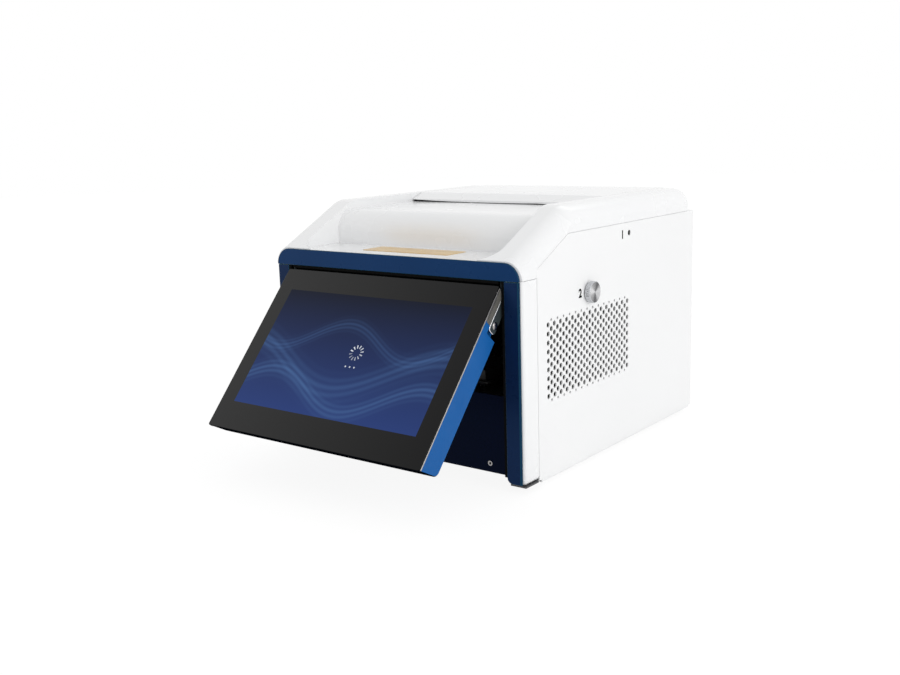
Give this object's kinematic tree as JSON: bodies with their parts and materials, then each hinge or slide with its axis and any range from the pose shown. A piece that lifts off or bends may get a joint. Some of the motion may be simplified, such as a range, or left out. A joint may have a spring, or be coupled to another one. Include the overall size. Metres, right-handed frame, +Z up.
{
  "type": "nucleic acid extractor",
  "caption": "Bench-top extractor case with a swing-up touch-screen door, heated sample tray, lifting magnet rods and sleeves, side vents, and a hollowed sloping cover.",
  "frame": {"origin": "the middle of the whole footprint with the door open as at rest, at the level the feet stand on", "axes": "+X to the right seen from the front, +Y to the back, +Z up; the door is on the -Y side"},
  "size_m": [0.3548, 0.5332, 0.2895],
  "materials": {
    "white_cover": "gloss white moulded cover",
    "white_metal": "smooth white powder coat",
    "blue_frame": "satin navy paint",
    "door_blue": "bright blue moulding",
    "black_plastic": "matt black",
    "black_metal": "black paint",
    "rubber": "black rubber",
    "screen_glass": "dark cover glass",
    "screen_module": "display module",
    "silver": "satin silver",
    "chrome": "polished",
    "steel": "ground steel",
    "aluminium": "anodised",
    "clear_plastic": "translucent sleeve",
    "board_green": "circuit board",
    "lamp_glass": "lamp tube"
  },
  "bodies": {
    "case": {"top_cover": "white_cover", "top_lid": "white_cover", "bezel_top": "blue_frame", "bezel_left": "blue_frame", "bezel_right": "blue_frame", "column_left": "white_cover", "column_right": "white_cover", "side_panel_left": "white_metal", "side_panel_right": "white_metal", "rear_panel": "white_metal", "base_tray": "white_metal", "lower_front_panel": "blue_frame", "panel_screw_left": "steel", "panel_screw_right": "steel", "chamber_liner": "black_metal", "door_seal": "black_plastic", "hinge_bush_left": "steel", "hinge_bush_right": "steel", "tray_rail_left": "steel", "tray_rail_right": "steel", "guide_rod_left": "steel", "guide_rod_right": "steel", "drive_top_plate": "aluminium", "motor_rods": "black_metal", "motor_sleeves": "black_metal", "uv_lamp": "lamp_glass", "fan_frame": "black_plastic", "fan_grille": "steel", "power_supply": "steel", "control_board": "board_green", "iec_inlet": "black_plastic", "usb_port": "steel", "foot_front_left": "rubber", "foot_front_right": "rubber", "foot_rear_left": "rubber", "foot_rear_right": "rubber"},
    "door": {"door_glass": "screen_glass", "door_display": "screen_module", "door_trim": "silver", "door_shell": "door_blue", "door_inner_panel": "black_metal", "hinge_arm_left": "chrome", "hinge_arm_right": "chrome", "hinge_bolt_left": "chrome", "hinge_bolt_right": "chrome", "hinge_block_left": "silver", "hinge_block_right": "silver"},
    "tray": {"tray_plate": "aluminium", "heater_block_left": "aluminium", "heater_block_right": "aluminium"},
    "rod_head": {"rod_carriage": "aluminium", "magnet_rods": "steel"},
    "sleeve_head": {"sleeve_carriage": "aluminium", "sleeve_comb_left": "clear_plastic", "sleeve_comb_right": "clear_plastic"},
    "rod_screw": {"lead_screw_rods": "steel"},
    "sleeve_screw": {"lead_screw_sleeves": "steel"},
    "fan": {"fan_rotor": "black_plastic"},
    "knob": {"side_knob": "steel"},
    "rocker": {"power_rocker": "black_plastic"}
  },
  "joints": [
    {"name": "door_hinge", "type": "hinge", "parent": "case", "child": "door", "pos_m": [-0.004, -0.12193, 0.22], "axis": [1, 0, 0], "range_deg": [-43.7, 41.3]},
    {"name": "tray_slide", "type": "slide", "parent": "case", "child": "tray", "axis": [0, 1, 0], "range_m": [-0.048, 0.058]},
    {"name": "rod_lift", "type": "slide", "parent": "case", "child": "rod_head", "axis": [0, 0, 1], "range_m": [-0.037, 0]},
    {"name": "sleeve_lift", "type": "slide", "parent": "case", "child": "sleeve_head", "axis": [0, 0, 1], "range_m": [-0.04, 0]},
    {"name": "rod_screw_turn", "type": "hinge", "parent": "case", "child": "rod_screw", "pos_m": [-0.116, 0.09358, 0.179], "axis": [0, 0, 1], "range_deg": [-842, 10]},
    {"name": "sleeve_screw_turn", "type": "hinge", "parent": "case", "child": "sleeve_screw", "pos_m": [0.108, 0.09358, 0.179], "axis": [0, 0, 1], "range_deg": [-910, 10]},
    {"name": "fan_spin", "type": "hinge", "parent": "case", "child": "fan", "pos_m": [-0.099, 0.24657, 0.174], "axis": [0, 1, 0], "continuous": true},
    {"name": "knob_turn", "type": "hinge", "parent": "case", "child": "knob", "pos_m": [0.1694, 0.00308, 0.194], "axis": [1, 0, 0], "continuous": true},
    {"name": "rocker_tilt", "type": "hinge", "parent": "case", "child": "rocker", "pos_m": [0.114, 0.25917, 0.084], "axis": [1, 0, 0], "range_deg": [-9, 9]}
  ],
  "couplings": [
    {"joint": "rod_screw_turn", "follows": "rod_lift", "rad_per_m": 392.7},
    {"joint": "sleeve_screw_turn", "follows": "sleeve_lift", "rad_per_m": 392.7}
  ]
}
